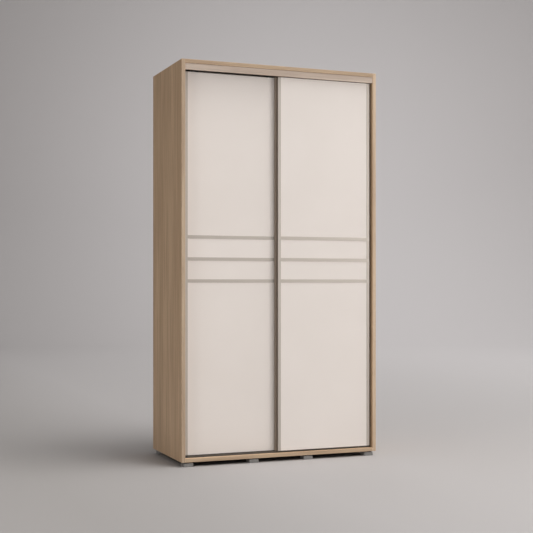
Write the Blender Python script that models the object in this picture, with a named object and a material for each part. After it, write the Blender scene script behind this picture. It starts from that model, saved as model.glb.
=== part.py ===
"""Two-door sliding wardrobe: laminate carcass, double track, framed doors on rollers, low feet.

Metres, +Z up.  The origin is on the floor under the middle of the footprint, the doors face -Y and
+X is to the right of someone who stands in front of them.
"""
import math

import bmesh
import bpy
import mathutils

# overall size
WIDTH = 1.250
DEPTH = 0.600
HEIGHT = 2.352
FOOT_HEIGHT = 0.027

# boards
BOARD = 0.022          # sides, top and bottom
INNER_BOARD = 0.018    # partition and shelves
BACK_SHEET = 0.003
BACK_SETBACK = 0.0005  # the back sheets stop this short of the outer faces and of each other
EDGE_ROUND = 0.0008    # edge banding
FIT = 0.0003           # gap between pieces that touch

# doors: depth is counted back from the front plane of the carcass
DOOR_THICK = 0.032
FRONT_DOOR_DEPTH = 0.0185
REAR_DOOR_DEPTH = 0.0560
DOOR_LOW = 0.060
DOOR_HIGH = 2.290
DOOR_SIDE_GAP = 0.002
DOOR_OVERLAP = 0.062
DOOR_CLEARANCE = 0.008  # behind the rear door

# door frame profiles
WALL = 0.0016
PANEL_THICK = 0.010
STILE_WIDTH = 0.030
GRIP_WIDTH = 0.012     # finger groove on the outer side of each stile
GRIP_DEPTH = 0.020
GRIP_CURL = 0.005      # how far the flange folds back along the finger groove
GROOVE_DEPTH = 0.0100  # how far a panel edge enters its groove
LIP = 0.009            # what shows of the top and bottom rails
TOP_LEG = 0.018
ROLLER_CHANNEL = 0.040 # height of the bottom rail behind the panel
STRIP_HEIGHT = 0.0185
STRIP_PITCH = 0.1283
MIDDLE_STRIP_HEIGHT = 1.2016

# tracks
FASCIA_HEIGHT = 0.0375
FASCIA_THICK = 0.012
FASCIA_RECESS = 0.0025
TRACK_DEPTH = 0.0150   # front edge of the top track
TRACK_WALL = 0.0015
TRACK_BASE = 0.002
TRACK_DROP = 0.030
JOINT_LINE = 0.001     # between the fascia and the board above it
RIB_HEIGHT = 0.0068
RIB_WIDTH = 0.003
RUN_MARGIN = 0.006     # from a door's front face to the edge of the bottom track

# running gear
WHEEL_RADIUS = 0.0125
ROLLING_RADIUS = 0.0105
WHEEL_WIDTH = 0.008
WHEEL_BORE = 0.0028
HUB_RADIUS = 0.005
HUB_RISE = 0.001
AXLE_RADIUS = 0.0025
CARRIAGE_LENGTH = 0.060
CARRIAGE_RISE = 0.0015  # its cheeks stop this far above the door's lower edge
CHEEK_REACH = 0.0060    # from the wheel's middle to the inside of a cheek
CHEEK_THICK = 0.0018
CHEEK_FOOT = 0.012      # half the width of a cheek at its lower end
BRIDGE_THICK = 0.004
CARRIAGE_INSET = 0.075  # from the door's side edge to the wheel
GUIDE_LENGTH = 0.048
GUIDE_BASE = 0.025
GUIDE_PLAY = 0.0006     # between the tongue and each wall of the top track
GUIDE_HEADROOM = 0.006
GUIDE_SOFT = 0.003      # its chamfers

# interior
HAT_SHELF_HEIGHT = 1.990
RAIL_DROP = 0.055      # from the hat shelf to the hanging rail
RAIL_WIDE = 0.015
RAIL_TALL = 0.030
RAIL_WALL = 0.0012
SOCKET_FLANGE = 0.003
SOCKET_CUP = 0.010
LEFT_SHELVES = 4
SHELF_SETBACK = 0.004   # behind the partition's front edge

# feet
FOOT_SIZE = 0.060
FOOT_BODY = 0.0205
FOOT_NECK = 0.044
FOOT_STEP = 0.001      # the upper half of the body is this much smaller all round
FOOT_CORNER = 0.004
FOOT_FRONT_DEPTH = 0.0095
FOOT_REAR_DEPTH = 0.523
FOOT_PLACES = (-0.580, -0.175, 0.175, 0.580)

# worked out from the above
FRONT = -DEPTH / 2
FLOOR_BOARD_TOP = FOOT_HEIGHT + BOARD
ROOF_BOARD_LOW = HEIGHT - BOARD
INSIDE = WIDTH / 2 - BOARD
BACK_FACE = DEPTH / 2 - BACK_SHEET - FIT
INTERIOR_FRONT = FRONT + REAR_DOOR_DEPTH + DOOR_THICK + DOOR_CLEARANCE
DOOR_WIDTH = INSIDE - DOOR_SIDE_GAP + DOOR_OVERLAP / 2
PANEL_BACK = WALL + PANEL_THICK + 2 * FIT
WHEEL_DEPTH = (PANEL_BACK + DOOR_THICK) / 2
WHEEL_HEIGHT = FLOOR_BOARD_TOP + FIT + WALL + RIB_HEIGHT + FIT + ROLLING_RADIUS

OAK = ("oak_laminate", (0.55, 0.44, 0.34), 0.55, 0.0)
OAK_FOIL = ("oak_foil", (0.50, 0.43, 0.37), 0.50, 0.0)
INTERIOR_OAK = ("oak_interior", (0.58, 0.47, 0.37), 0.60, 0.0)
FIBREBOARD = ("back_fibreboard", (0.62, 0.53, 0.44), 0.70, 0.0)
CASHMERE = ("cashmere_panel", (0.66, 0.62, 0.57), 0.45, 0.0)
CHAMPAGNE = ("champagne_aluminium", (0.50, 0.46, 0.41), 0.38, 0.7)
TRACK_METAL = ("track_aluminium", (0.58, 0.57, 0.55), 0.38, 0.85)
STEEL = ("rail_steel", (0.62, 0.62, 0.62), 0.25, 1.0)
ZINC = ("zinc_steel", (0.50, 0.51, 0.52), 0.40, 0.9)
NYLON = ("white_nylon", (0.78, 0.77, 0.73), 0.45, 0.0)
FOOT_PLASTIC = ("grey_plastic", (0.16, 0.16, 0.16), 0.55, 0.0)


def clear_scene():
    for item in list(bpy.data.objects):
        bpy.data.objects.remove(item, do_unlink=True)


def material(kind):
    name, colour, roughness, metallic = kind
    made = bpy.data.materials.get(name)
    if made:
        return made
    made = bpy.data.materials.new(name)
    made.use_nodes = True
    shader = made.node_tree.nodes["Principled BSDF"]
    shader.inputs["Base Color"].default_value = (*colour, 1.0)
    shader.inputs["Roughness"].default_value = roughness
    shader.inputs["Metallic"].default_value = metallic
    made.diffuse_color = (*colour, 1.0)
    return made


def add_object(name, shape, kind, place=(0, 0, 0), parent=None):
    """Turn a bmesh into a named object with its material."""
    bmesh.ops.recalc_face_normals(shape, faces=shape.faces)
    mesh = bpy.data.meshes.new(name)
    shape.to_mesh(mesh)
    shape.free()
    mesh.materials.append(material(kind))
    item = bpy.data.objects.new(name, mesh)
    bpy.context.collection.objects.link(item)
    item.location = place
    item.parent = parent
    return item


def round_edges(item, width=EDGE_ROUND, segments=1, angle=40):
    bevel = item.modifiers.new("edges", "BEVEL")
    bevel.width = width
    bevel.segments = segments
    bevel.limit_method = "ANGLE"
    bevel.angle_limit = math.radians(angle)
    return item


def box(name, low, high, kind, parent=None, rounding=EDGE_ROUND):
    """A board between two corners, its object placed at its middle."""
    middle = [(a + b) / 2 for a, b in zip(low, high)]
    size = [b - a for a, b in zip(low, high)]
    shape = bmesh.new()
    bmesh.ops.create_cube(shape, size=1.0)
    bmesh.ops.scale(shape, vec=size, verts=shape.verts)
    item = add_object(name, shape, kind, middle, parent)
    return round_edges(item, rounding) if rounding else item


def extrude_outline(name, outline, start, end, kind, place=(0, 0, 0), parent=None):
    """Sweep a closed outline of (x, y, z) points from start to end, both vectors."""
    shape = bmesh.new()
    rings = []
    for offset in (start, end):
        points = [tuple(a + b for a, b in zip(point, offset)) for point in outline]
        rings.append([shape.verts.new(point) for point in points])
    shape.faces.new(rings[0])
    shape.faces.new(rings[1])
    for i in range(len(outline)):
        j = (i + 1) % len(outline)
        shape.faces.new((rings[0][i], rings[0][j], rings[1][j], rings[1][i]))
    return add_object(name, shape, kind, place, parent)


def profile_along_x(name, section, x_low, x_high, kind, place=(0, 0, 0), parent=None):
    """Extrude a section of (depth, height) points along X."""
    outline = [(0, depth, height) for depth, height in section]
    return extrude_outline(name, outline, (x_low, 0, 0), (x_high, 0, 0), kind, place, parent)


def profile_along_z(name, section, z_low, z_high, kind, place=(0, 0, 0), parent=None):
    """Extrude a section of (across, depth) points along Z."""
    outline = [(across, depth, 0) for across, depth in section]
    return extrude_outline(name, outline, (0, 0, z_low), (0, 0, z_high), kind, place, parent)


# ---------------------------------------------------------------- carcass

def build_boards():
    for name, sign in (("side_panel_left", -1), ("side_panel_right", 1)):
        x_low, x_high = sorted((sign * INSIDE, sign * WIDTH / 2))
        box(name, (x_low, FRONT, FOOT_HEIGHT), (x_high, BACK_FACE, HEIGHT), OAK)
    span = INSIDE - FIT
    box("top_panel", (-span, FRONT, ROOF_BOARD_LOW), (span, BACK_FACE, HEIGHT), OAK)
    box("bottom_panel", (-span, FRONT, FOOT_HEIGHT), (span, BACK_FACE, FLOOR_BOARD_TOP), OAK)
    half = INNER_BOARD / 2
    box("centre_partition", (-half, INTERIOR_FRONT, FLOOR_BOARD_TOP + FIT),
        (half, BACK_FACE, ROOF_BOARD_LOW - FIT), INTERIOR_OAK)
    outer = WIDTH / 2 - BACK_SETBACK
    for name, x_low, x_high in (("back_panel_left", -outer, -BACK_SETBACK),
                                ("back_panel_right", BACK_SETBACK, outer)):
        box(name, (x_low, DEPTH / 2 - BACK_SHEET, FOOT_HEIGHT + BACK_SETBACK),
            (x_high, DEPTH / 2, HEIGHT - BACK_SETBACK), FIBREBOARD, rounding=0)


def build_shelves():
    half = INNER_BOARD / 2
    front = INTERIOR_FRONT + SHELF_SETBACK
    bay_inner, bay_outer = half + FIT, INSIDE - FIT
    pitch = (ROOF_BOARD_LOW - FLOOR_BOARD_TOP + INNER_BOARD) / (LEFT_SHELVES + 1)
    for i in range(LEFT_SHELVES):
        low = FLOOR_BOARD_TOP + (i + 1) * pitch - INNER_BOARD
        box(f"shelf_left_{i + 1}", (-bay_outer, front, low),
            (-bay_inner, BACK_FACE, low + INNER_BOARD), INTERIOR_OAK)
    box("hat_shelf", (bay_inner, front, HAT_SHELF_HEIGHT - INNER_BOARD),
        (bay_outer, BACK_FACE, HAT_SHELF_HEIGHT), INTERIOR_OAK)


def oval(wide, tall, steps=8):
    """An upright oval (two half circles and two straight sides) as (y, z) points."""
    radius = wide / 2
    straight = tall / 2 - radius
    points = []
    for centre, first in ((straight, 0), (-straight, math.pi)):
        for i in range(steps + 1):
            turn = first + math.pi * i / steps
            points.append((radius * math.cos(turn), centre + radius * math.sin(turn)))
    return points


def tube_along_x(name, outer, inner, x_low, x_high, kind, place):
    """A tube open at both ends, between two outlines with the same number of points."""
    shape = bmesh.new()
    rings = [[shape.verts.new((x, y, z)) for y, z in outline]
             for outline, x in ((outer, x_low), (outer, x_high), (inner, x_high), (inner, x_low))]
    for ring, following in zip(rings, rings[1:] + rings[:1]):
        for i in range(len(ring)):
            j = (i + 1) % len(ring)
            shape.faces.new((ring[i], ring[j], following[j], following[i]))
    item = add_object(name, shape, kind, place)
    item.data.shade_smooth()
    item.data.set_sharp_from_angle(angle=math.radians(35))
    return item


def build_hanging_rail():
    height = HAT_SHELF_HEIGHT - INNER_BOARD - RAIL_DROP
    y = (INTERIOR_FRONT + BACK_FACE) / 2
    bay_inner, bay_outer = INNER_BOARD / 2, INSIDE
    seat = SOCKET_FLANGE + 2 * FIT
    tube_along_x("hanging_rail", oval(RAIL_WIDE, RAIL_TALL),
                 oval(RAIL_WIDE - 2 * RAIL_WALL, RAIL_TALL - 2 * RAIL_WALL),
                 bay_inner + seat, bay_outer - seat, STEEL, (0, y, height))
    for side, wall, inward in (("left", bay_inner, 1), ("right", bay_outer, -1)):
        build_rail_socket(f"rail_socket_{side}", wall, inward, (0, y, height))


def build_rail_socket(name, wall, inward, place):
    """An oval flange with a raised collar that the rail's end sits in."""
    collar_wall, ear_wide, ear_tall = 0.0025, 0.007, 0.011
    bore = oval(RAIL_WIDE + 2 * FIT, RAIL_TALL + 2 * FIT)
    collar = oval(RAIL_WIDE + 2 * collar_wall, RAIL_TALL + 2 * collar_wall)
    plate = oval(RAIL_WIDE + 2 * ear_wide, RAIL_TALL + 2 * ear_tall)
    start, step, mouth = (wall + inward * d for d in (FIT, SOCKET_FLANGE + FIT, SOCKET_FLANGE + SOCKET_CUP))
    shape = bmesh.new()
    stages = ((plate, start), (plate, step), (collar, step), (collar, mouth), (bore, mouth), (bore, step))
    rings = [[shape.verts.new((x, y, z)) for y, z in outline] for outline, x in stages]
    for ring, following in zip(rings, rings[1:]):
        for i in range(len(ring)):
            j = (i + 1) % len(ring)
            shape.faces.new((ring[i], ring[j], following[j], following[i]))
    shape.faces.new(rings[0])
    shape.faces.new(rings[-1])
    add_object(name, shape, ZINC, place)


# ---------------------------------------------------------------- tracks

def build_tracks():
    box("fascia_board", (-INSIDE + FIT, FRONT + FASCIA_RECESS, ROOF_BOARD_LOW - FASCIA_HEIGHT),
        (INSIDE - FIT, FRONT + FASCIA_RECESS + FASCIA_THICK, ROOF_BOARD_LOW - JOINT_LINE), OAK_FOIL)
    pitch = REAR_DOOR_DEPTH - FRONT_DOOR_DEPTH
    walls = [TRACK_DEPTH + i * pitch for i in range(3)]
    top = ROOF_BOARD_LOW - FIT
    below, lowest = top - TRACK_BASE, top - TRACK_DROP
    section = [(walls[0], top), (walls[0], lowest), (walls[0] + TRACK_WALL, lowest),
               (walls[0] + TRACK_WALL, below), (walls[1], below), (walls[1], lowest),
               (walls[1] + TRACK_WALL, lowest), (walls[1] + TRACK_WALL, below), (walls[2], below),
               (walls[2], lowest), (walls[2] + TRACK_WALL, lowest), (walls[2] + TRACK_WALL, top)]
    place = (0, FRONT, 0)
    profile_along_x("top_track", section, -INSIDE + FIT, INSIDE - FIT, TRACK_METAL, place)

    low = FLOOR_BOARD_TOP + FIT
    plate = low + WALL
    crest = plate + RIB_HEIGHT
    front = FRONT_DOOR_DEPTH + RUN_MARGIN
    rear = REAR_DOOR_DEPTH + DOOR_THICK + RUN_MARGIN / 2
    section = [(front, low), (front, plate)]
    for door_depth in (FRONT_DOOR_DEPTH, REAR_DOOR_DEPTH):
        centre = door_depth + WHEEL_DEPTH
        half = RIB_WIDTH / 2
        section += [(centre - half, plate), (centre - half, crest - half)]
        section += [(centre - half / 2, crest), (centre + half / 2, crest)]
        section += [(centre + half, crest - half), (centre + half, plate)]
    section += [(rear, plate), (rear, low)]
    profile_along_x("bottom_track", section, -INSIDE + FIT, INSIDE - FIT, TRACK_METAL, place)


# ---------------------------------------------------------------- feet

def rounded_square(half, corner, steps=4):
    """Corner points of a square with rounded corners, anticlockwise, as (x, y)."""
    points = []
    for quarter in range(4):
        for i in range(steps + 1):
            turn = math.radians(90) * (quarter + i / steps)
            x = math.copysign(half - corner, math.cos(math.radians(90 * quarter + 45)))
            y = math.copysign(half - corner, math.sin(math.radians(90 * quarter + 45)))
            points.append((x + corner * math.cos(turn), y + corner * math.sin(turn)))
    return points


def build_foot(name, x, y):
    """A square block with a step halfway up and a narrower neck under the board."""
    wide, narrow = FOOT_SIZE / 2, FOOT_SIZE / 2 - FOOT_STEP
    waist = FOOT_BODY / 2
    stages = [(wide - FOOT_STEP, 0), (wide, FOOT_STEP), (wide, waist - FOOT_STEP), (narrow, waist),
              (narrow, FOOT_BODY - FOOT_STEP), (narrow - FOOT_STEP, FOOT_BODY),
              (FOOT_NECK / 2, FOOT_BODY), (FOOT_NECK / 2, FOOT_HEIGHT - FIT)]
    shape = bmesh.new()
    rings = [[shape.verts.new((px, py, z)) for px, py in rounded_square(half, FOOT_CORNER)]
             for half, z in stages]
    for ring, following in zip(rings, rings[1:]):
        for i in range(len(ring)):
            j = (i + 1) % len(ring)
            shape.faces.new((ring[i], ring[j], following[j], following[i]))
    shape.faces.new(rings[0])
    shape.faces.new(rings[-1])
    foot = add_object(name, shape, FOOT_PLASTIC, (x, y, 0))
    foot.data.shade_smooth()
    foot.data.set_sharp_from_angle(angle=math.radians(30))


def build_feet():
    half = FOOT_SIZE / 2
    for row, depth in (("front", FOOT_FRONT_DEPTH), ("rear", FOOT_REAR_DEPTH)):
        for i, x in enumerate(FOOT_PLACES):
            build_foot(f"foot_{row}_{i + 1}", x, FRONT + depth + half)


# ---------------------------------------------------------------- doors

def stile_section():
    """Handle stile seen from above: across runs from the door's side edge inwards, depth runs back."""
    web = STILE_WIDTH - GROOVE_DEPTH
    floor = GRIP_DEPTH
    return [(GRIP_WIDTH, 0), (STILE_WIDTH, 0), (STILE_WIDTH, WALL), (web, WALL), (web, PANEL_BACK),
            (STILE_WIDTH, PANEL_BACK), (STILE_WIDTH, PANEL_BACK + WALL), (web, PANEL_BACK + WALL),
            (web, DOOR_THICK), (web - WALL, DOOR_THICK), (web - WALL, floor + WALL), (WALL, floor + WALL),
            (WALL, DOOR_THICK), (0, DOOR_THICK), (0, floor), (web - WALL, floor), (web - WALL, WALL),
            (GRIP_WIDTH + WALL, WALL), (GRIP_WIDTH + WALL, GRIP_CURL), (GRIP_WIDTH, GRIP_CURL)]


def top_rail_section():
    """Top rail from the side: depth runs back, height is counted down from the door's top."""
    groove = GROOVE_DEPTH + WALL
    return [(0, 0), (0, -LIP), (WALL, -LIP), (WALL, -WALL), (PANEL_BACK, -WALL), (PANEL_BACK, -groove),
            (PANEL_BACK + WALL, -groove), (PANEL_BACK + WALL, -WALL), (DOOR_THICK - WALL, -WALL),
            (DOOR_THICK - WALL, -TOP_LEG), (DOOR_THICK, -TOP_LEG), (DOOR_THICK, 0)]


def bottom_rail_section():
    """Bottom rail: a groove for the panel in front of a channel, open downwards, for the rollers."""
    top, ceiling = ROLLER_CHANNEL, ROLLER_CHANNEL - WALL
    return [(0, 0), (0, LIP), (WALL, LIP), (WALL, WALL), (PANEL_BACK, WALL), (PANEL_BACK, top),
            (DOOR_THICK, top), (DOOR_THICK, 0), (DOOR_THICK - WALL, 0), (DOOR_THICK - WALL, ceiling),
            (PANEL_BACK + WALL, ceiling), (PANEL_BACK + WALL, 0)]


def strip_section():
    """Dividing strip: an H on its side that takes one panel from above and one from below."""
    half = STRIP_HEIGHT / 2
    web = WALL / 2
    return [(0, -half), (0, half), (WALL, half), (WALL, web), (PANEL_BACK, web), (PANEL_BACK, half),
            (PANEL_BACK + WALL, half), (PANEL_BACK + WALL, -half), (PANEL_BACK, -half),
            (PANEL_BACK, -web), (WALL, -web), (WALL, -half)]


def build_door(side, depth):
    """One door about an empty at its middle, on the running line of its wheels."""
    inward = 1 if side == "left" else -1
    closed_x = -inward * (INSIDE - DOOR_SIDE_GAP - DOOR_WIDTH / 2)
    carrier = bpy.data.objects.new(f"{side}_door_slide_axis", None)
    bpy.context.collection.objects.link(carrier)
    carrier.location = (closed_x, FRONT + depth, 0)
    half = DOOR_WIDTH / 2
    name = f"{side}_door"

    for where, sign in (("left", 1), ("right", -1)):
        section = [(sign * (across - half), back) for across, back in stile_section()]
        profile_along_z(f"{name}_stile_{where}", section, DOOR_LOW, DOOR_HIGH, CHAMPAGNE, parent=carrier)

    rail = half - STILE_WIDTH - FIT
    profile_along_x(f"{name}_top_rail", top_rail_section(), -rail, rail, CASHMERE,
                    (0, 0, DOOR_HIGH), carrier)
    profile_along_x(f"{name}_bottom_rail", bottom_rail_section(), -rail, rail, CASHMERE,
                    (0, 0, DOOR_LOW), carrier)
    strips = [MIDDLE_STRIP_HEIGHT + i * STRIP_PITCH for i in (1, 0, -1)]
    for i, height in enumerate(strips):
        profile_along_x(f"{name}_strip_{i + 1}", strip_section(), -rail, rail, CHAMPAGNE,
                        (0, 0, height), carrier)
    build_panels(name, carrier, strips)
    for where, sign in (("left", -1), ("right", 1)):
        x = sign * (half - CARRIAGE_INSET)
        build_carriage(f"{name}_carriage_{where}", x, carrier)
        build_wheel(f"{name}_wheel_{where}", x, carrier)
        build_guide(f"{name}_guide_{where}", x, carrier)


def build_panels(name, carrier, strips):
    across = DOOR_WIDTH / 2 - STILE_WIDTH + GROOVE_DEPTH - FIT
    over = WALL / 2 + FIT
    edges = [DOOR_HIGH - WALL - FIT]
    for height in strips:
        edges += [height + over, height - over]
    edges.append(DOOR_LOW + WALL + FIT)
    labels = ("upper", "mid_upper", "mid_lower", "lower")
    for label, high, low in zip(labels, edges[0::2], edges[1::2]):
        box(f"{name}_panel_{label}", (-across, WALL + FIT, low), (across, WALL + FIT + PANEL_THICK, high),
            CASHMERE, carrier, rounding=0.0004)


def build_carriage(name, x, carrier):
    """A folded steel fork with its axle: two cheeks, a bridge over the wheel and a pin through it."""
    length = CARRIAGE_LENGTH / 2
    top = DOOR_LOW + ROLLER_CHANNEL - WALL - FIT - WHEEL_HEIGHT
    bridge = top - BRIDGE_THICK
    low = DOOR_LOW + CARRIAGE_RISE - WHEEL_HEIGHT
    outside = CHEEK_REACH + CHEEK_THICK
    outline = [(-length, 0, top), (-length, 0, bridge), (-CHEEK_FOOT, 0, low), (CHEEK_FOOT, 0, low),
               (length, 0, bridge), (length, 0, top)]
    place = (x, WHEEL_DEPTH, WHEEL_HEIGHT)
    fork = extrude_outline(name, outline, (0, -outside, 0), (0, outside, 0), ZINC, place, carrier)

    slot_shape = bmesh.new()
    bmesh.ops.create_cube(slot_shape, size=2.0)
    room = (2 * length, CHEEK_REACH, bridge)
    bmesh.ops.scale(slot_shape, vec=room, verts=slot_shape.verts)
    slot = add_object(f"{name}_slot", slot_shape, ZINC, place, carrier)

    pin_shape = bmesh.new()
    quarter_turn = mathutils.Matrix.Rotation(math.radians(90), 4, "X")
    bmesh.ops.create_cone(pin_shape, cap_ends=True, segments=24, radius1=AXLE_RADIUS, radius2=AXLE_RADIUS,
                          depth=2 * CHEEK_REACH + CHEEK_THICK, matrix=quarter_turn)
    pin = add_object(f"{name}_pin", pin_shape, ZINC, place, carrier)
    for tool, action in ((slot, "DIFFERENCE"), (pin, "UNION")):
        tool.hide_render = True
        tool.display_type = "WIRE"
        step = fork.modifiers.new(action.lower(), "BOOLEAN")
        step.operation = action
        step.object = tool


def build_wheel(name, x, carrier):
    """A grooved nylon wheel, turned about its own axis."""
    half = WHEEL_WIDTH / 2
    flat = RIB_WIDTH / 2 + 2 * FIT
    hub = half + HUB_RISE
    soft = 0.0008
    profile = [(WHEEL_BORE, -hub), (HUB_RADIUS, -hub), (HUB_RADIUS, -half), (WHEEL_RADIUS - soft, -half),
               (WHEEL_RADIUS, -half + soft), (ROLLING_RADIUS, -flat), (ROLLING_RADIUS, flat),
               (WHEEL_RADIUS, half - soft), (WHEEL_RADIUS - soft, half), (HUB_RADIUS, half),
               (HUB_RADIUS, hub), (WHEEL_BORE, hub)]
    steps = 36
    shape = bmesh.new()
    rings = []
    for i in range(steps):
        turn = 2 * math.pi * i / steps
        rings.append([shape.verts.new((r * math.cos(turn), y, r * math.sin(turn))) for r, y in profile])
    for i, ring in enumerate(rings):
        following = rings[(i + 1) % steps]
        for j in range(len(profile)):
            k = (j + 1) % len(profile)
            shape.faces.new((ring[j], ring[k], following[k], following[j]))
    wheel = add_object(name, shape, NYLON, (x, WHEEL_DEPTH, WHEEL_HEIGHT), carrier)
    wheel.data.shade_smooth()
    wheel.data.set_sharp_from_angle(angle=math.radians(35))


def build_guide(name, x, carrier):
    """A plastic foot on the top rail with a tongue that runs in the top track."""
    pitch = REAR_DOOR_DEPTH - FRONT_DOOR_DEPTH
    centre = TRACK_DEPTH + (pitch + TRACK_WALL) / 2 - FRONT_DOOR_DEPTH
    base = GUIDE_BASE / 2
    tongue = (pitch - TRACK_WALL) / 2 - GUIDE_PLAY
    low = DOOR_HIGH + FIT
    shoulder = ROOF_BOARD_LOW - TRACK_DROP + GUIDE_SOFT
    crown = ROOF_BOARD_LOW - TRACK_BASE - GUIDE_HEADROOM
    right_half = [(base, low), (base, shoulder), (tongue, shoulder + GUIDE_SOFT),
                  (tongue, crown - GUIDE_SOFT), (tongue - GUIDE_SOFT, crown)]
    section = [(centre + reach, height) for reach, height in right_half]
    section += [(centre - reach, height) for reach, height in reversed(right_half)]
    length = GUIDE_LENGTH / 2
    guide = profile_along_x(name, section, -length, length, NYLON, (x, 0, 0), carrier)
    round_edges(guide, GUIDE_SOFT / 2, 2, 60)


clear_scene()
build_boards()
build_shelves()
build_hanging_rail()
build_tracks()
build_feet()
build_door("left", REAR_DOOR_DEPTH)
build_door("right", FRONT_DOOR_DEPTH)
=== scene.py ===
import math
import random

import bmesh
import bpy
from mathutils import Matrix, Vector


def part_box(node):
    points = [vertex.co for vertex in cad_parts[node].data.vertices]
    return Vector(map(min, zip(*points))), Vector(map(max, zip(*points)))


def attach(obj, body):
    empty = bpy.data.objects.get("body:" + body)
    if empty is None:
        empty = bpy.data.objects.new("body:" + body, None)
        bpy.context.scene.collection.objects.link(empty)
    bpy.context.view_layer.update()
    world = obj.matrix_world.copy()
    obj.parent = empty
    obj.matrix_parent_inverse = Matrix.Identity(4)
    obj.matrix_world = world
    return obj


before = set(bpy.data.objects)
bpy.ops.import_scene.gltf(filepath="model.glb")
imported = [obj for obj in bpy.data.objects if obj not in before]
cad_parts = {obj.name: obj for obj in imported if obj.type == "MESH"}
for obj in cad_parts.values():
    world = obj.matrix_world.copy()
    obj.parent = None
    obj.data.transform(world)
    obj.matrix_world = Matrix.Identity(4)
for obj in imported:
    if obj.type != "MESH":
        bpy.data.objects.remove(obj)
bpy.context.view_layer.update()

# The wardrobe stands on the floor with its doors towards -Y.  Everything is in metres, in the model's frame.

CAMERA_PLACE = (-2.513, -6.364, 1.051)
CAMERA_TURN = math.radians(21.695)     # to the right of straight ahead
CAMERA_LENS = 74.44                    # millimetres, on a sensor of this width
CAMERA_SENSOR = 36.0
CAMERA_RISE = 0.0342                   # vertical shift, which keeps the uprights parallel

BACKDROP_FLAT = 12.0                   # radius of the level floor
BACKDROP_CURVE = 5.0                   # radius of the bend up into the wall
BACKDROP_HEIGHT = 12.0
BEND_STEPS = 16
ROUND_STEPS = 96
GLOW = 0.306                           # at its brightest, far behind the wardrobe and to the right
GLOW_CENTRE = (7.2, 2.6)               # x and z
GLOW_REACH = (6.2, 8.0)                # how far from its centre it falls to about a third, in x and z
GLOW_FREE = 0.7                        # there is none nearer to the wardrobe's middle than this
GLOW_GROWTH = 4.8                      # beyond that it reaches nearly two thirds within this distance
GLOW_COLOUR = (1.0, 0.962, 0.970)
PAINT = (0.477, 0.456, 0.449)
PAINT_LEFT_SHADE = (0.388, 0.369, 0.358)     # painted shade: the floor to the left of the wardrobe, darker where its shadow falls
PAINT_CHANGE = (-1.4, -0.2)            # the x between which it changes
UNDERSIDE_SHADE = (0.600, 0.284)             # half the width and depth of the painted shade on the floor under the bottom board
UNDERSIDE_SHADE_TONE = 0.22
UNDERSIDE_SHADE_FADE = 0.030

# name: place, what it aims at, width and height, power, colour
LIGHTS = {
    "key": ((4.4, -5.2, 2.1), (0, 0, 1.1), (2.0, 2.0), 44, (1.0, 0.98, 0.96)),
    "front_wide": ((-2.5, -9.5, 2.0), (0, 0, 1.2), (6.0, 2.6), 40, (1.0, 0.99, 0.98)),
    "high_front": ((3.5, -9.5, 10.0), (0, 0, 0.8), (5.0, 5.0), 185, (1.0, 0.99, 0.98)),
    "left_fill": ((-7.0, -4.0, 2.4), (0, 0, 1.1), (3.0, 3.0), 42, (1.0, 0.99, 0.97)),
    "back_fill": ((3.5, 11.0, 9.0), (0, 0, 1.0), (5.0, 4.0), 195, (1.0, 1.0, 1.0)),
    "overhead": ((3.5, -3.0, 14.0), (0, 0, 0), (8.0, 8.0), 1430, (1.0, 0.995, 0.985)),
}
# degrees; narrower than the other lamps' 180, to keep their light off the floor beside them
BEAM = {"key": 110, "front_wide": 100, "left_fill": 110}
SKY = (0.80, 0.80, 0.82)
SKY_STRENGTH = 0.165

GRAIN_STRETCH = 0.045                  # how much slower the figure of the wood changes along the grain
OAK_LIGHT = (0.735, 0.524, 0.336)
OAK_DARK = (0.570, 0.387, 0.235)
STREAK_TINT = (0.80, 0.75, 0.74)       # of the darker tone, in the streaks
LINE_TONE = 0.80                       # and in the cathedral lines, fibres, pores and glue line
FIBRE_TONE = 0.86
PORE_TONE = 0.55
GLUE_TONE = 0.45
RUBBED_TONE = 1.22                     # of the lighter tone
BAND_TINT = (0.93, 0.97, 1.02)
SIDE_BAND_TINT = (0.93, 1.00, 1.11)
FASCIA_LIGHT = (0.640, 0.510, 0.406)
FASCIA_DARK = (0.522, 0.406, 0.312)
CASHMERE_LIGHT = (0.745, 0.690, 0.648)
CASHMERE_DARK = (0.722, 0.667, 0.624)
CHAMPAGNE = (0.466, 0.420, 0.374)
FLANGE = 0.0018                        # from a door's face to the back of its front flange
GROOVE_SHADE_DEPTH = 0.0060                   # from there to where the grooves have their darkest painted shade
# painted shade: the tone by which a groove is darkened, where shade falls in it
GROOVE_SHADE_TINT = (0.42, 0.36, 0.31)
GROOVE_FLOOR = 0.0185                  # and to just in front of the floor of its finger groove
# painted light: the tone by which the groove's front-facing floor is lifted again
GROOVE_FLOOR_LIGHT = (1.75, 1.80, 1.85)
# painted shade: the tracks are dark brown to stand for the shade in the gap under the doors
TRACK_SHADE_DARK = (0.125, 0.105, 0.088)
EDGE_BAND = 0.0010                     # thickness of the banding on a front edge
GLUE_LINE = 0.0002
RUBBED = 0.0012                        # how far the pale wear along an arris reaches
PROFILE_RADIUS = 0.0002

# shelf-pin holes
HOLE_RADIUS = 0.0025
HOLE_PITCH = 0.032
HOLE_ROWS = (-0.163, 0.2597)
HOLES_FROM = 0.225
HOLES_TO = 2.145
# painted shade: the holes have no depth, so their inside is drawn near-black
HOLE_SHADE = (0.035, 0.026, 0.020)
DRILLED = {"side_panel_left": -0.603, "centre_partition": -0.009}    # the x of the drilled face
DRILL_REACH = 0.0004                   # how far from that x the holes are drawn

# sizes of the CAD profiles that small pieces sit on
TRACK_RIB = 0.0068                     # height of a running rib above the bottom track's plate
TRACK_BASE = 0.002                     # thickness of the top track's base
RIB_LINES = (-0.2594, -0.2219)
GROOVE_WEB = 0.0184                    # from a door's side edge to the web of its stile
GRIP_FLOOR = 0.0216                    # from a door's face to the back of the floor of its finger groove
RAIL_LIP = 0.009
SOCKET_PLATE = 0.003
FOOT_NECK = 0.0062                     # height of a foot's neck, below the board

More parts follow.
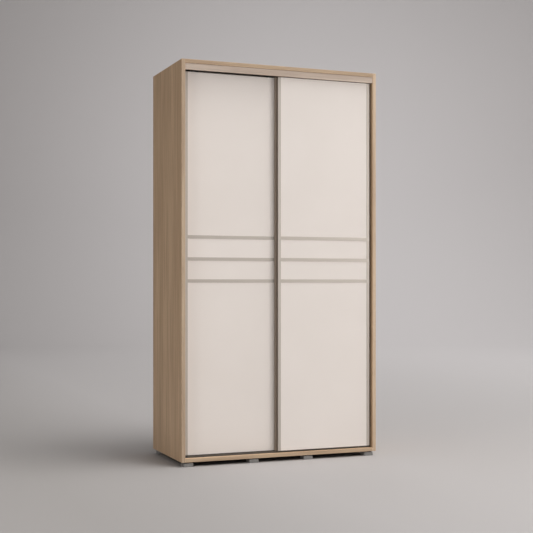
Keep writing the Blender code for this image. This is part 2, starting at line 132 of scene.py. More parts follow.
# small hardware
CAM_INSET = 0.034
CAM_DEPTHS = (-0.150, 0.050, 0.190)
CAM_CAP = [(0.0085, -0.0001), (0.0085, 0.0005), (0.0081, 0.0009), (0.0040, 0.0011), (0.0022, 0.0010),
           (0.0014, 0.0004)]
NAIL = [(0.0013, -0.0001), (0.0013, 0.0001), (0.0010, 0.0003), (0.0004, 0.0004)]
NAIL_INSET = 0.011                     # from the edge of the back
NAIL_LINES = (-0.0042, 0.0042)         # the x of the two rows beside the joint of the back sheets
PIN_TONGUE = 0.009                     # of a shelf pin, under the shelf
PIN_DROP = 0.011                       # of its plate, down the board
PIN_THICK = 0.0014
PIN_HALF = 0.0034                      # half its width
PIN_STUD = [(0.0022, -0.0002), (0.0022, 0.0003), (0.0016, 0.0007), (0.0005, 0.0008)]
TRACK_SCREW = (0.0042, 0.0009)         # radius and rise of a screw head
SOCKET_SCREW = (0.0030, 0.0012)
STILE_SCREW = (0.0036, 0.0018)
CARRIAGE_SCREW = (0.0032, 0.0010)
TRACK_SCREW_MARGIN = 0.060             # from each end of a track
STOP_LENGTH = 0.024
STOP_WIDE = 0.011
STOP_TALL = 0.0072
BEAD_FRONT = -0.0006                   # how far a glazing bead stands out from its panel
BEAD_LAP = 0.0006                      # how far it runs under the frame
BEAD_SHOW = 0.0008                     # what shows of it
BRUSH_STEP = 0.004
BRUSH_MARGIN = 0.006                   # from each end of a stile


# ---------------------------------------------------------------- node materials

class Finish:
    """One node material.  Each method adds a node and returns the socket that the next one uses."""

    def __init__(self, name, roughness=0.5, metallic=0.0, **values):
        self.material = bpy.data.materials.new(name)
        self.material.use_nodes = True
        self.tree = self.material.node_tree
        self.shader = self.tree.nodes["Principled BSDF"]
        self.shader.inputs["Roughness"].default_value = roughness
        self.shader.inputs["Metallic"].default_value = metallic
        for socket, value in values.items():
            self.shader.inputs[socket.replace("_", " ")].default_value = value

    def add(self, kind, links=None, **settings):
        node = self.tree.nodes.new(kind)
        for key, value in settings.items():
            setattr(node, key, value)
        for socket, source in (links or {}).items():
            if isinstance(source, bpy.types.NodeSocket):
                self.tree.links.new(source, node.inputs[socket])
            else:
                node.inputs[socket].default_value = source
        return node

    def place(self, scale=(1, 1, 1), shift=(0, 0, 0)):
        """The point on the object, in metres, stretched and shifted."""
        here = self.add("ShaderNodeTexCoord").outputs["Object"]
        return self.add("ShaderNodeMapping", {"Vector": here, "Scale": scale, "Location": shift}).outputs[0]

    def noise(self, where, scale, detail=2.0, roughness=0.5, distortion=0.0):
        links = {"Vector": where, "Scale": scale, "Detail": detail, "Roughness": roughness,
                 "Distortion": distortion}
        return self.add("ShaderNodeTexNoise", links).outputs["Fac"]

    def math(self, operation, a, b=0.0):
        return self.add("ShaderNodeMath", {0: a, 1: b}, operation=operation).outputs[0]

    def spread(self, value, low, high, to_low=0.0, to_high=1.0):
        """A value from low to high becomes to_low to to_high, and no further."""
        links = {"Value": value, "From Min": low, "From Max": high, "To Min": to_low, "To Max": to_high}
        return self.add("ShaderNodeMapRange", links).outputs["Result"]

    def mix(self, factor, a, b, blend="MIX"):
        node = self.add("ShaderNodeMix", data_type="RGBA", blend_type=blend)
        for socket, source in ((0, factor), (6, a), (7, b)):
            if isinstance(source, bpy.types.NodeSocket):
                self.tree.links.new(source, node.inputs[socket])
            else:
                node.inputs[socket].default_value = source if socket == 0 else (*source, 1.0)
        return node.outputs[2]

    def axis(self, which, where=None):
        where = where or self.place()
        return self.add("ShaderNodeSeparateXYZ", {0: where}).outputs["XYZ".index(which)]

    def colour(self, socket):
        self.tree.links.new(socket, self.shader.inputs["Base Color"])

    def roughness(self, socket):
        self.tree.links.new(socket, self.shader.inputs["Roughness"])

    def bump(self, height, distance, strength):
        links = {"Height": height, "Distance": distance, "Strength": strength}
        self.tree.links.new(self.add("ShaderNodeBump", links).outputs[0], self.shader.inputs["Normal"])


def along(grain, amount):
    """A scale of 1 across the grain and of the given amount along it."""
    return tuple(amount if letter == grain else 1.0 for letter in "XYZ")


def toned(colour, factor):
    return tuple(c * factor for c in colour)


def near_faces(finish, low, high, width):
    """How many pairs of faces of a box the point is near: 1 on a face, 2 on an edge, 3 at a corner."""
    split = finish.add("ShaderNodeSeparateXYZ", {0: finish.place()})
    total = 0.0
    for letter, start, end in zip("XYZ", low, high):
        value = split.outputs[letter]
        from_low = finish.math("SUBTRACT", value, start)
        to_high = finish.math("SUBTRACT", end, value)
        inside = finish.math("MINIMUM", from_low, to_high)
        total = finish.math("ADD", finish.math("LESS_THAN", inside, width), total)
    return total


def oak(name, node, grain, shift, light=OAK_LIGHT, dark=OAK_DARK, band=1.0, gloss=0.50):
    """Printed oak laminate: broad bands, cathedral lines, fine fibres and short dark pores.

    The front edge has its own edge band, a little darker or lighter than the face, behind a fine glue line;
    the right side's band is paler than the left side's as painted light and shade.
    The arrises are rubbed a little paler.
    """
    low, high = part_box(node)
    wood = Finish(name, IOR=1.45)
    broad = wood.place(along(grain, GRAIN_STRETCH), shift)
    fine = wood.place(along(grain, GRAIN_STRETCH / 3), shift)
    bands = wood.noise(broad, 11.0, 3.0, 0.55, 0.3)
    streaks = wood.noise(broad, 42.0, 2.0, 0.5)
    contour = wood.math("MULTIPLY", wood.noise(broad, 4.5, 2.0, 0.45, 0.2), 22.0)
    rings = wood.math("PINGPONG", contour, 1.0)
    lines = wood.spread(rings, 0.0, 0.28, 1.0, 0.0)
    fibres = wood.noise(fine, 240.0, 3.0, 0.6)
    pores = wood.spread(wood.noise(fine, 620.0, 1.0, 0.5), 0.62, 0.72)
    base = wood.mix(wood.spread(bands, 0.34, 0.66), light, dark)
    streak_colour = tuple(c * k for c, k in zip(dark, STREAK_TINT))
    base = wood.mix(wood.spread(streaks, 0.44, 0.66, 0.0, 0.65), base, streak_colour)
    base = wood.mix(wood.math("MULTIPLY", lines, 0.22), base, toned(dark, LINE_TONE))
    base = wood.mix(wood.spread(fibres, 0.3, 0.7, 0.0, 0.30), base, toned(dark, FIBRE_TONE))
    base = wood.mix(wood.math("MULTIPLY", pores, 0.45), base, toned(dark, PORE_TONE))
    depth = wood.math("SUBTRACT", wood.axis("Y"), low[1])
    banded = wood.math("LESS_THAN", depth, EDGE_BAND)
    tint = SIDE_BAND_TINT if "side" in node else BAND_TINT
    base = wood.mix(banded, base, wood.mix(1.0, base, toned(tint, band), "MULTIPLY"))
    glue = wood.math("COMPARE", depth, EDGE_BAND)
    glue.node.inputs[2].default_value = GLUE_LINE / 2
    base = wood.mix(wood.math("MULTIPLY", glue, 0.7), base, toned(dark, GLUE_TONE))
    arris = wood.math("GREATER_THAN", near_faces(wood, low, high, RUBBED), 1.5)
    rubbed = wood.spread(wood.noise(wood.place(), 30.0, 3.0, 0.6), 0.40, 0.66, 0.10, 0.60)
    base = wood.mix(wood.math("MULTIPLY", arris, rubbed), base, toned(light, RUBBED_TONE))
    relief = wood.math("SUBTRACT", wood.spread(fibres, 0.3, 0.7), pores)
    if node in DRILLED:
        base, relief = drill(wood, base, relief, DRILLED[node])
    wood.colour(base)
    wood.roughness(wood.spread(fibres, 0.3, 0.7, gloss - 0.05, gloss + 0.09))
    wood.bump(relief, 0.00010, 0.6)
    return wood.material


def drill(wood, base, relief, face):
    """Two upright rows of shelf-pin holes at the standard pitch in the face at one x, drawn as near-black
    discs of painted shade.
    """
    where = wood.add("ShaderNodeSeparateXYZ", {0: wood.place()})
    from_face = wood.math("ABSOLUTE", wood.math("SUBTRACT", where.outputs["X"], face))
    on_face = wood.math("LESS_THAN", from_face, DRILL_REACH)
    turn = wood.math("PINGPONG", wood.math("SUBTRACT", where.outputs["Z"], HOLES_FROM), HOLE_PITCH / 2)
    span = wood.math("ABSOLUTE", wood.math("SUBTRACT", where.outputs["Z"], (HOLES_FROM + HOLES_TO) / 2))
    on_row = wood.math("LESS_THAN", span, (HOLES_TO - HOLES_FROM) / 2)
    hole = 0.0
    for row in HOLE_ROWS:
        off = wood.math("SUBTRACT", where.outputs["Y"], row)
        square = wood.math("ADD", wood.math("MULTIPLY", off, off), wood.math("MULTIPLY", turn, turn))
        away = wood.math("SQRT", square)
        hole = wood.math("ADD", wood.spread(away, HOLE_RADIUS * 0.86, HOLE_RADIUS, 1.0, 0.0), hole)
    hole = wood.math("MULTIPLY", wood.math("MULTIPLY", hole, on_face), on_row)
    relief = wood.math("SUBTRACT", relief, wood.math("MULTIPLY", hole, 8.0))
    return wood.mix(hole, base, HOLE_SHADE), relief


def fibreboard(name, node, shift):
    """Thin back sheet: printed oak towards the room inside, raw brown fibre behind."""
    low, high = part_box(node)
    sheet = Finish(name, IOR=1.45)
    grained = sheet.place(along("Z", GRAIN_STRETCH), shift)
    printed = sheet.mix(sheet.spread(sheet.noise(grained, 14.0, 4.0, 0.6), 0.34, 0.66), OAK_LIGHT, OAK_DARK)
    cloud = sheet.noise(sheet.place(shift=shift), 7.0, 4.0, 0.6)
    flecks = sheet.noise(sheet.place((1, 1, 0.35), shift), 520.0, 4.0, 0.7)
    raw = sheet.mix(sheet.spread(cloud, 0.35, 0.65), (0.390, 0.270, 0.170), (0.340, 0.228, 0.140))
    raw = sheet.mix(sheet.spread(flecks, 0.45, 0.72, 0.0, 0.8), raw, (0.520, 0.385, 0.260))
    raw = sheet.mix(sheet.spread(flecks, 0.42, 0.28, 0.0, 0.8), raw, (0.165, 0.100, 0.058))
    behind = sheet.math("GREATER_THAN", sheet.axis("Y"), (low[1] + high[1]) / 2)
    sheet.colour(sheet.mix(behind, printed, raw))
    sheet.roughness(sheet.spread(flecks, 0.3, 0.7, 0.62, 0.78))
    sheet.bump(sheet.math("MULTIPLY", flecks, behind), 0.00020, 0.8)
    return sheet.material


def cashmere(name, shift):
    """Super-matt pale beige foil on board: a faint cloudiness and a very fine even texture."""
    foil = Finish(name, IOR=1.42)
    cloud = foil.noise(foil.place(shift=shift), 2.6, 2.0, 0.5)
    grit = foil.noise(foil.place(), 1500.0, 2.0, 0.6)
    base = foil.mix(foil.spread(cloud, 0.3, 0.7), CASHMERE_LIGHT, CASHMERE_DARK)
    foil.colour(foil.mix(foil.spread(grit, 0.35, 0.65, 0.0, 0.10), base, toned(CASHMERE_DARK, 0.9)))
    foil.roughness(foil.spread(cloud, 0.3, 0.7, 0.50, 0.58))
    foil.bump(grit, 0.00005, 0.5)
    return foil.material


def brushed_metal(name, length, colour, roughness, metallic, streak=0.10, face=None):
    """Anodised or drawn metal with fine lines along its length.

    With a face, which is the Y of a door's front, whatever lies deeper than the front flange is darker as
    painted shade in its groove, and the front-facing floor of the finger groove is lifted again as painted
    light.
    """
    metal = Finish(name, metallic=metallic)
    lines = metal.noise(metal.place(along(length, 0.004)), 900.0, 3.0, 0.6)
    patches = metal.noise(metal.place(along(length, 0.3)), 14.0, 2.0, 0.5)
    base = metal.mix(metal.spread(lines, 0.3, 0.7), colour, toned(colour, 1 - streak))
    base = metal.mix(metal.spread(patches, 0.35, 0.65, 0.0, 0.35), base, toned(colour, 0.95))
    if face is not None:
        # painted shade deeper than the flange, and painted light on the groove's floor
        depth = metal.math("SUBTRACT", metal.axis("Y"), face)
        base = metal.mix(metal.spread(depth, FLANGE, GROOVE_SHADE_DEPTH), base,
                         metal.mix(1.0, base, GROOVE_SHADE_TINT, "MULTIPLY"))
        base = metal.mix(metal.spread(depth, GROOVE_FLOOR, GROOVE_FLOOR + 0.001), base,
                         metal.mix(1.0, base, GROOVE_FLOOR_LIGHT, "MULTIPLY"))
    metal.colour(base)
    metal.roughness(metal.spread(lines, 0.3, 0.7, roughness - 0.06, roughness + 0.08))
    metal.bump(lines, 0.00002, 0.5)
    return metal.material


def plastic(name, colour, roughness, grain=900.0, depth=0.00008):
    """Moulded plastic with an eroded grain."""
    moulded = Finish(name, IOR=1.47)
    grit = moulded.noise(moulded.place(), grain, 3.0, 0.6)
    wear = moulded.noise(moulded.place(), 40.0, 3.0, 0.6)
    clouded = moulded.mix(moulded.spread(wear, 0.35, 0.65), toned(colour, 0.88), toned(colour, 1.12))
    moulded.colour(clouded)
    moulded.roughness(moulded.spread(grit, 0.3, 0.7, roughness - 0.06, roughness + 0.08))
    moulded.bump(grit, depth, 0.6)
    return moulded.material


def foot_plastic(name, neck):
    """Mid-grey moulded foot, with patchy painted contact shade near the floor and a neck painted near-black
    as painted shade under the board.
    """
    moulded = Finish(name, IOR=1.47)
    grit = moulded.noise(moulded.place(), 700.0, 3.0, 0.6)
    height = moulded.axis("Z")
    base = moulded.mix(moulded.spread(grit, 0.35, 0.65), (0.195, 0.189, 0.181), (0.243, 0.236, 0.226))
    # painted shade: the neck under the board is near-black
    base = moulded.mix(moulded.math("GREATER_THAN", height, neck), base, (0.035, 0.034, 0.033))
    # painted contact shade within 6 mm of the floor, made patchy with noise
    floor_shade = moulded.math("MULTIPLY", moulded.spread(height, 0.0, 0.006, 0.7, 0.0),
                         moulded.spread(moulded.noise(moulded.place(), 90.0, 3.0, 0.6), 0.42, 0.62))
    moulded.colour(moulded.mix(floor_shade, base, (0.120, 0.115, 0.108)))
    moulded.roughness(moulded.spread(grit, 0.3, 0.7, 0.46, 0.62))
    moulded.bump(grit, 0.00010, 0.6)
    return moulded.material


def brush_pile(name, colour):
    """Short upright nylon fibres of a draught brush."""
    pile = Finish(name, roughness=0.75)
    hairs = pile.noise(pile.place((1.0, 0.05, 1.0)), 1800.0, 2.0, 0.7)
    clumps = pile.noise(pile.place(), 160.0, 2.0, 0.5)
    base = pile.mix(pile.spread(hairs, 0.35, 0.65), toned(colour, 0.45), colour)
    pile.colour(pile.mix(pile.spread(clumps, 0.4, 0.6, 0.0, 0.4), base, toned(colour, 0.6)))
    pile.roughness(pile.spread(hairs, 0.3, 0.7, 0.70, 0.90))
    pile.bump(hairs, 0.0003, 1.0)
    return pile.material


BOARD_GRAIN = {"side_panel_left": "Z", "side_panel_right": "Z", "centre_partition": "Z"}
# edge-band tones, partly painted light and shade: the right side's band, towards the lamps, is paler than
# the left side's
BAND_TONE_AND_SHADE = {"top_panel": 0.77, "bottom_panel": 0.78, "side_panel_left": 0.80, "side_panel_right": 0.99}
INNER_BAND_TONE = 0.97


def finish_all():
    """Give every CAD node its own finish."""
    uprights = {}
    for door in ("left", "right"):
        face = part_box(f"{door}_door_stile_left")[0][1]
        uprights[door] = brushed_metal(f"champagne_upright_{door}", "Z", CHAMPAGNE, 0.46, 0.35, face=face)
    level = brushed_metal("champagne_level", "X", CHAMPAGNE, 0.46, 0.35)
    # the tracks' dark brown is painted shade for the gap under the doors
    track = brushed_metal("track_shade_dark", "X", TRACK_SHADE_DARK, 0.42, 0.6)
    tube = brushed_metal("rail_chrome", "X", (0.66, 0.66, 0.66), 0.26, 1.0, 0.04)
    zinc = brushed_metal("zinc_plated", "X", (0.55, 0.56, 0.58), 0.34, 0.9, 0.06)
    nylon = plastic("white_nylon", (0.78, 0.77, 0.73), 0.42)
    guide = plastic("grey_guide_plastic", (0.060, 0.056, 0.052), 0.46)
    foot = foot_plastic("grey_foot_plastic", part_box("foot_front_1")[1][2] - FOOT_NECK)
    pale_rail = cashmere("cashmere_rail", (5, 0, 0))
    for i, (name, node) in enumerate(sorted(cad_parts.items())):
        shift = (1.7 * i, 0.9 * i, 3.1 * i)
        if name.endswith("_panel") or "side_panel" in name or "shelf" in name or name == "centre_partition":
            tone = BAND_TONE_AND_SHADE.get(name, INNER_BAND_TONE)
            made = oak(f"oak_{name}", name, BOARD_GRAIN.get(name, "X"), shift, band=tone)
        elif name == "fascia_board":
            made = oak("oak_foil_fascia", name, "X", shift, FASCIA_LIGHT, FASCIA_DARK, gloss=0.44)
        elif "back_panel" in name:
            made = fibreboard(f"fibreboard_{name}", name, shift)
        elif "stile" in name:
            made = uprights[name.split("_")[0]]
        elif "strip" in name:
            made = level
        elif "door_panel" in name:
            made = cashmere(f"cashmere_{name}", shift)
        elif name.endswith(("top_rail", "bottom_rail")):
            made = pale_rail
        elif name.endswith("_track"):
            made = track
        elif name == "hanging_rail":
            made = tube
        elif "socket" in name or "carriage" in name:
            made = zinc
        elif "foot" in name:
            made = foot
        elif "guide" in name:
            made = guide
        else:
            made = nylon
        node.material_slots[0].material = made
        if "stile" in name or "strip" in name or name.endswith(("_rail", "_track")):
            soften(node)


def soften(node):
    """The small radius that an extruded or rolled profile has on its corners."""
    corner = node.modifiers.new("profile_radius", "BEVEL")
    corner.width = PROFILE_RADIUS
    corner.segments = 2
    corner.limit_method = "ANGLE"
    corner.angle_limit = math.radians(40)


# ---------------------------------------------------------------- small pieces

def join(name, shape, body, made):
    """Turn a bmesh into a piece that rides on a body."""
    bmesh.ops.recalc_face_normals(shape, faces=shape.faces)
    mesh = bpy.data.meshes.new(name)
    shape.to_mesh(mesh)
    shape.free()
    mesh.shade_smooth()
    mesh.set_sharp_from_angle(angle=math.radians(35))
    mesh.materials.append(made)
    item = bpy.data.objects.new(name, mesh)
    bpy.context.collection.objects.link(item)
    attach(item, body)


def bridge(shape, rings):
    """Join rings of points, each with as many points as the next, and close both ends."""
    rings = [[shape.verts.new(point) for point in ring] for ring in rings]
    for ring, following in zip(rings, rings[1:]):
        for i in range(len(ring)):
            j = (i + 1) % len(ring)
            shape.faces.new((ring[i], ring[j], following[j], following[i]))
    shape.faces.new(rings[0])
    shape.faces.new(rings[-1])


def standing(place, outward, radii, height):
    """A ring of points round an axis that stands on a face at a place, with one radius for each point."""
    upright = Vector(outward).to_track_quat("Z", "Y")
    ring = []
    for i, radius in enumerate(radii):
        turn = 2 * math.pi * i / len(radii)
        off = Vector((radius * math.cos(turn), radius * math.sin(turn), height))
        ring.append(Vector(place) + upright @ off)
    return ring


def turned(shape, place, outward, profile, steps=20):
    """Add a round form, from its (radius, height) points."""
    bridge(shape, [standing(place, outward, [radius] * steps, height) for radius, height in profile])


def screw(shape, place, outward, radius, rise):
    """Add a screw head with a cross recess: four arms, each six points from the next."""
    arms = [(1.0, 0.96, 0.42, 0.34)[min(i % 6, 6 - i % 6)] for i in range(24)]
    round_head = [1.0] * len(arms)
    stages = ((0.90, -0.0002, round_head), (1.0, rise * 0.30, round_head), (0.90, rise * 0.75, round_head),
              (0.66, rise, round_head), (0.52, rise, arms), (0.34, rise * 0.25, arms))
    bridge(shape, [standing(place, outward, [radius * size * reach for reach in outline], height)
                   for size, height, outline in stages])


def swept(shape, outline, offset):
    """Add a prism: a closed outline of points and the same outline moved by an offset."""
    bridge(shape, [outline, [tuple(a + b for a, b in zip(point, offset)) for point in outline]])


def rounded(wide, tall, corner, steps=4):
    """A rectangle with round corners about the origin, as pairs."""
    points = []
    for quarter in range(4):
        across = 1 if quarter in (0, 3) else -1
        up = 1 if quarter in (0, 1) else -1
        for i in range(steps + 1):
            turn = math.radians(90) * (quarter + i / steps)
            points.append((across * (wide / 2 - corner) + corner * math.cos(turn),
                           up * (tall / 2 - corner) + corner * math.sin(turn)))
    return points


def spaced(start, end, pitch):
    """Even steps from start to end, about one pitch apart."""
    count = max(1, round(abs(end - start) / pitch))
    return [start + (end - start) * i / count for i in range(count + 1)]


def add_cam_caps(made):
    """Round cover caps over the cam fittings: under the boards, and low and high on the partition."""
    shape = bmesh.new()
    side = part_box("side_panel_right")[0][0]
    for board in ("top_panel", "bottom_panel"):
        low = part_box(board)[0][2]
        for x in (-side + CAM_INSET, side - CAM_INSET):
            for y in CAM_DEPTHS:
                turned(shape, (x, y, low), (0, 0, -1), CAM_CAP)
    for board in ("shelf_left_2", "hat_shelf"):
        low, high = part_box(board)
        for x in (low[0] + CAM_INSET, high[0] - CAM_INSET):
            for y in (CAM_DEPTHS[0], CAM_DEPTHS[-1]):
                turned(shape, (x, y, low[2]), (0, 0, -1), CAM_CAP)
    low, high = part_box("centre_partition")
    for z in (low[2] + CAM_INSET, high[2] - CAM_INSET):
        for y in CAM_DEPTHS:
            turned(shape, (high[0], y, z), (1, 0, 0), CAM_CAP)
    join("cam_cover_caps", shape, "carcass", made)


def add_shelf_pins(made):
    """Angled steel pins: a tongue under the shelf and a plate against the board that holds it."""
    shape = bmesh.new()
    tongue, drop, thick, half = PIN_TONGUE, PIN_DROP, PIN_THICK, PIN_HALF
    outline = [(0, 0), (tongue - 0.001, 0), (tongue, -0.0004), (tongue, -thick), (2.2 * thick, -thick),
               (1.3 * thick, -1.3 * thick), (thick, -2.2 * thick), (thick, -drop), (0, -drop)]
    for board in ("shelf_left_1", "shelf_left_3", "shelf_left_4"):
        low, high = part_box(board)
        for wall, inward in ((low[0], 1), (high[0], -1)):
            for y in HOLE_ROWS:
                points = [(wall + inward * across, y - half, low[2] + up) for across, up in outline]
                swept(shape, points, (0, 2 * half, 0))
                stud = (wall + inward * thick, y, low[2] - drop * 0.62)
                turned(shape, stud, (inward, 0, 0), PIN_STUD, 12)
    join("shelf_pins", shape, "carcass", made)


def add_track_hardware(screws, rubber):
    """Screws along both tracks and a rubber stop on each end of each running rib."""
    low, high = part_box("bottom_track")
    plate = high[2] - TRACK_RIB
    shape = bmesh.new()
    first, last = low[0] + TRACK_SCREW_MARGIN, high[0] - TRACK_SCREW_MARGIN
    for x in spaced(first, last, 0.20):
        screw(shape, (x, (RIB_LINES[0] + RIB_LINES[1]) / 2, plate), (0, 0, 1), *TRACK_SCREW)
    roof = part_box("top_track")[1][2] - TRACK_BASE
    for x in spaced(first, last, 0.27):
        for y in RIB_LINES:
            screw(shape, (x, y - 0.001, roof), (0, 0, -1), *TRACK_SCREW)
    join("track_screws", shape, "carcass", screws)

    shape = bmesh.new()
    stages = ((0.0, 0.0), (0.0, STOP_TALL - 0.0018), (0.0006, STOP_TALL - 0.0006), (0.0018, STOP_TALL))
    for x in (low[0] + STOP_LENGTH / 2 + 0.001, high[0] - STOP_LENGTH / 2 - 0.001):
        for y in RIB_LINES:
            rings = []
            for inset, up in stages:
                outline = rounded(STOP_LENGTH - 2 * inset, STOP_WIDE - 2 * inset, 0.003)
                rings.append([(x + a, y + b, plate + up) for a, b in outline])
            bridge(shape, rings)
    join("track_end_stops", shape, "carcass", rubber)


def add_back_nails(made):
    """Flat nail heads round the back sheets and along the partition and the shelves."""
    shape = bmesh.new()
    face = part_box("back_panel_left")[1][1]
    left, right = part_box("side_panel_left")[0][0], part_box("side_panel_right")[1][0]
    bottom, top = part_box("bottom_panel")[0][2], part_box("top_panel")[1][2]
    inset = NAIL_INSET
    spots = []
    for z in spaced(bottom + inset, top - inset, 0.13):
        spots += [(x, z) for x in (left + inset, right - inset)]
    for z in spaced(bottom + 3 * inset, top - 3 * inset, 0.16):
        spots += [(x, z) for x in NAIL_LINES]
    for x in spaced(left + inset, right - inset, 0.12)[1:-1]:
        spots += [(x, z) for z in (bottom + inset, top - inset) if abs(x) > inset]
    for board in ("shelf_left_1", "shelf_left_2", "shelf_left_3", "shelf_left_4", "hat_shelf"):
        low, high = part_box(board)
        spots += [(x, (low[2] + high[2]) / 2) for x in spaced(low[0] + 0.08, high[0] - 0.08, 0.15)]
    for x, z in spots:
        turned(shape, (x, face, z), (0, 1, 0), NAIL, 10)
    join("back_nails", shape, "carcass", made)


def add_socket_screws(made):
    """Two screws through the plate of each rail socket, above and below the rail."""
    shape = bmesh.new()
    for side, inward in (("left", 1), ("right", -1)):
        low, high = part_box(f"rail_socket_{side}")
        wall = low[0] if inward == 1 else high[0]
        middle = (low[1] + high[1]) / 2
        for z in (low[2] + 0.0058, high[2] - 0.0058):
            screw(shape, (wall + inward * SOCKET_PLATE, middle, z), (inward, 0, 0), *SOCKET_SCREW)
    join("rail_socket_screws", shape, "carcass", made)


def add_door_screws(door, made):
    """Screws through the stiles into the rails and strips, and from the bottom rail into the carriages."""
    shape = bmesh.new()
    levels = [sum(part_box(f"{door}_strip_{i}")[end][2] for end in (0, 1)) / 2 for i in (1, 2, 3)]
    low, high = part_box(f"{door}_stile_left")
    levels += [low[2] + 0.020, high[2] - 0.009]
    for stile, outward in (("left", -1), ("right", 1)):
        low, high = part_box(f"{door}_stile_{stile}")
        web = (low[0] if outward == -1 else high[0]) - outward * GROOVE_WEB
        for z in levels:
            screw(shape, (web, low[1] + 0.0115, z), (outward, 0, 0), *STILE_SCREW)
    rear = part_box(f"{door}_bottom_rail")[1][1]
    for side in ("left", "right"):
        low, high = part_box(f"{door}_carriage_{side}")
        for x in (low[0] + 0.010, high[0] - 0.010):
            screw(shape, (x, rear, high[2] - 0.0065), (0, 1, 0), *CARRIAGE_SCREW)
    join(f"{door}_screws", shape, door, made)


def add_gaskets(door, made):
    """A thin glazing bead round each panel, just showing inside the frame."""
    shape = bmesh.new()
    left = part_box(f"{door}_stile_left")[1][0]
    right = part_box(f"{door}_stile_right")[0][0]
    strips = [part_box(f"{door}_strip_{i}") for i in (1, 2, 3)]
    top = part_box(f"{door}_top_rail")[1][2] - RAIL_LIP
    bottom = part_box(f"{door}_bottom_rail")[0][2] + RAIL_LIP
    edges = [top]
    for low, high in strips:
        edges += [high[2], low[2]]
    edges.append(bottom)
    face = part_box(f"{door}_panel_upper")[0][1]
    front, show = BEAD_FRONT, BEAD_SHOW
    stages = ((-BEAD_LAP, 0.0), (-BEAD_LAP, front * 0.5), (0.0, front),
              (show * 0.7, front), (show, front * 0.4), (show, 0.0))
    for high, low in zip(edges[0::2], edges[1::2]):
        across, up = (right - left) / 2, (high - low) / 2
        middle = ((left + right) / 2, (high + low) / 2)
        rings = []
        for inset, depth in stages:
            rings.append([(middle[0] + sx * (across - inset), face + depth, middle[1] + sz * (up - inset))
                          for sx, sz in ((-1, -1), (1, -1), (1, 1), (-1, 1))])
        loops = [[shape.verts.new(point) for point in ring] for ring in rings]
        for ring, following in zip(loops, loops[1:] + loops[:1]):
            for i in range(4):
                j = (i + 1) % 4
                shape.faces.new((ring[i], ring[j], following[j], following[i]))
    join(f"{door}_panel_beads", shape, door, made)


def add_brush(name, door, base, tip, width, pile, seed):
    """A draught brush: a dense pile on a thin strip, from its base line to its slightly uneven tips."""
    rng = random.Random(seed)
    low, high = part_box(f"{door}_stile_left")
    bottom, top = low[2] + BRUSH_MARGIN, high[2] - BRUSH_MARGIN
    base, tip, side = Vector(base), Vector(tip), Vector(width)
    shape = bmesh.new()
    rings = []
    steps = round((top - bottom) / BRUSH_STEP)
    for i in range(steps + 1):
        up = Vector((0, 0, bottom + (top - bottom) * i / steps))
        reach = 0.90 + 0.10 * rng.random()
        lean = (rng.random() - 0.5) * 0.15
        end = base + (tip - base) * reach + side * lean
        rings.append([base - side * 0.5 + up, base + side * 0.5 + up, end + side * 0.42 + up, end + up,
                      end - side * 0.42 + up])
    bridge(shape, rings)
    join(name, shape, door, pile)


def add_brushes(pile):
    """One brush on each outer stile against the side panel, and one behind the front door's inner stile."""
    for door, stile, outward in (("left_door", "left", -1), ("right_door", "right", 1)):
        low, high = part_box(f"{door}_stile_{stile}")
        outer = low[0] if outward == -1 else high[0]
        y = low[1] + 0.027
        root, tips = (outer - outward * 0.0001, y, 0), (outer + outward * 0.0017, y, 0)
        add_brush(f"{door}_side_brush", door, root, tips, (0, 0.0040, 0), pile, 11 + outward)
    low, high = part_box("right_door_stile_left")
    x = low[0] + 0.010
    floor = low[1] + GRIP_FLOOR
    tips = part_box("left_door_stile_right")[0][1] - 0.0008
    add_brush("right_door_overlap_brush", "right_door", (x, floor, 0), (x, tips, 0), (0.0060, 0, 0), pile, 5)


def add_small_pieces():
    screws = brushed_metal("screw_zinc", "X", (0.62, 0.61, 0.58), 0.30, 1.0, 0.06)
    caps = plastic("cam_cap_plastic", (0.520, 0.400, 0.290), 0.50)
    rubber = plastic("black_rubber", (0.022, 0.022, 0.023), 0.66, 500.0, 0.00012)
    bead = plastic("bead_plastic", (0.60, 0.555, 0.52), 0.60)
    pile = brush_pile("brush_fibres", (0.115, 0.108, 0.100))
    add_cam_caps(caps)
    add_shelf_pins(screws)
    add_track_hardware(screws, rubber)
    add_back_nails(screws)
    add_socket_screws(screws)
    for door in ("left_door", "right_door"):
        add_door_screws(door, screws)
        add_gaskets(door, bead)
    add_brushes(pile)


# ---------------------------------------------------------------- studio

def add_camera():
    data = bpy.data.cameras.new("camera")
    data.lens = CAMERA_LENS
    data.sensor_width = CAMERA_SENSOR
    data.shift_y = CAMERA_RISE
    camera = bpy.data.objects.new("camera", data)
    bpy.context.collection.objects.link(camera)
    camera.location = CAMERA_PLACE
    camera.rotation_euler = (math.radians(90), 0, -CAMERA_TURN)
    bpy.context.scene.camera = camera


def add_backdrop():
    """A pale floor that curves up into a round wall, so that it has no edge from any side."""
    profile = [(0.01, 0.0), (BACKDROP_FLAT, 0.0)]
    for i in range(1, BEND_STEPS + 1):
        turn = math.radians(90 * i / BEND_STEPS)
        profile.append((BACKDROP_FLAT + BACKDROP_CURVE * math.sin(turn),
                        BACKDROP_CURVE * (1 - math.cos(turn))))
    profile.append((BACKDROP_FLAT + BACKDROP_CURVE, BACKDROP_HEIGHT))
    shape = bmesh.new()
    line = [shape.verts.new((r, 0, z)) for r, z in profile]
    edges = [shape.edges.new(pair) for pair in zip(line, line[1:])]
    bmesh.ops.spin(shape, geom=line + edges, axis=(0, 0, 1), cent=(0, 0, 0), steps=ROUND_STEPS,
                   angle=math.radians(360), use_merge=True)
    hole = [edge for edge in shape.edges if edge.is_boundary and edge.calc_length() < 0.01]
    bmesh.ops.contextual_create(shape, geom=hole)
    bmesh.ops.recalc_face_normals(shape, faces=shape.faces)
    mesh = bpy.data.meshes.new("backdrop")
    shape.to_mesh(mesh)
    shape.free()
    mesh.shade_smooth()
    mesh.materials.append(backdrop_paint())
    backdrop = bpy.data.objects.new("backdrop", mesh)
    bpy.context.collection.objects.link(backdrop)


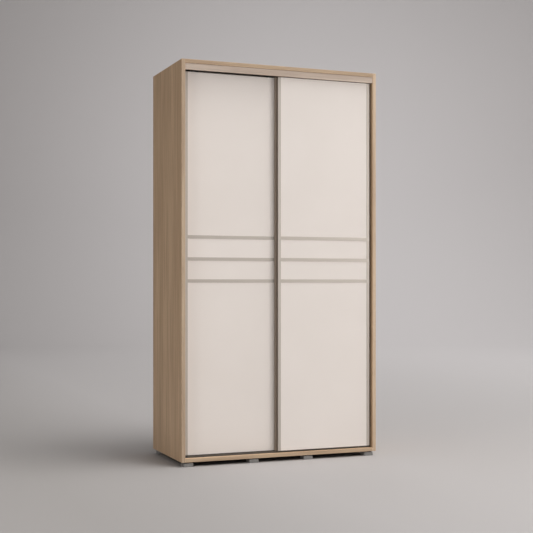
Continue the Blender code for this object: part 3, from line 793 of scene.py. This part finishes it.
def backdrop_paint():
    """Matt paint with a soft glow far behind the wardrobe, with painted shade to its left and under it."""
    paint = Finish("backdrop_paint", roughness=0.85)
    paint.shader.inputs["Emission Color"].default_value = (*GLOW_COLOUR, 1.0)
    (x, z), (across, up) = GLOW_CENTRE, GLOW_REACH
    off = paint.place((1 / across, 0, 1 / up), (-x / across, 0, -z / up))
    square = paint.add("ShaderNodeVectorMath", {0: off, 1: off}, operation="DOT_PRODUCT").outputs["Value"]
    glow = paint.math("EXPONENT", paint.math("MULTIPLY", square, -1.0))
    away = paint.add("ShaderNodeVectorMath", {0: paint.place()}, operation="LENGTH").outputs["Value"]
    beyond = paint.math("MAXIMUM", paint.math("SUBTRACT", away, GLOW_FREE), 0.0)
    missing = paint.math("EXPONENT", paint.math("DIVIDE", beyond, -GLOW_GROWTH))
    growth = paint.math("SUBTRACT", 1.0, missing)
    glow = paint.math("MULTIPLY", glow, paint.math("MULTIPLY", growth, GLOW))
    paint.tree.links.new(glow, paint.shader.inputs["Emission Strength"])
    # painted shade: darker to the left of the wardrobe
    base = paint.mix(paint.spread(paint.axis("X"), *PAINT_CHANGE), PAINT_LEFT_SHADE, PAINT)
    # painted shade on the floor under the bottom board, fading at its edge
    inside = 1.0
    for letter, half in zip("XY", UNDERSIDE_SHADE):
        to_edge = paint.math("SUBTRACT", half, paint.math("ABSOLUTE", paint.axis(letter)))
        inside = paint.math("MINIMUM", to_edge, inside)
    under_shade = paint.spread(inside, 0.0, UNDERSIDE_SHADE_FADE)
    paint.colour(paint.mix(under_shade, base, toned(PAINT, UNDERSIDE_SHADE_TONE)))
    paint.shader.inputs["Specular IOR Level"].default_value = 0.1
    return paint.material


def add_lights():
    """Area lamps that the camera doesn't see, and an even weak sky."""
    for name, (place, aim, size, power, colour) in LIGHTS.items():
        data = bpy.data.lights.new(name, "AREA")
        data.shape = "RECTANGLE"
        data.size, data.size_y = size
        data.energy = power
        data.color = colour
        data.spread = math.radians(BEAM.get(name, 180))
        light = bpy.data.objects.new(name, data)
        bpy.context.collection.objects.link(light)
        light.location = place
        light.rotation_euler = (Vector(aim) - Vector(place)).to_track_quat("-Z", "Y").to_euler()
        light.visible_camera = False
    world = bpy.data.worlds.new("studio")
    bpy.context.scene.world = world
    world.use_nodes = True
    sky = world.node_tree.nodes["Background"]
    sky.inputs["Color"].default_value = (*SKY, 1.0)
    sky.inputs["Strength"].default_value = SKY_STRENGTH
    bpy.context.scene.view_settings.view_transform = "Standard"


add_camera()
add_backdrop()
add_lights()
finish_all()
add_small_pieces()
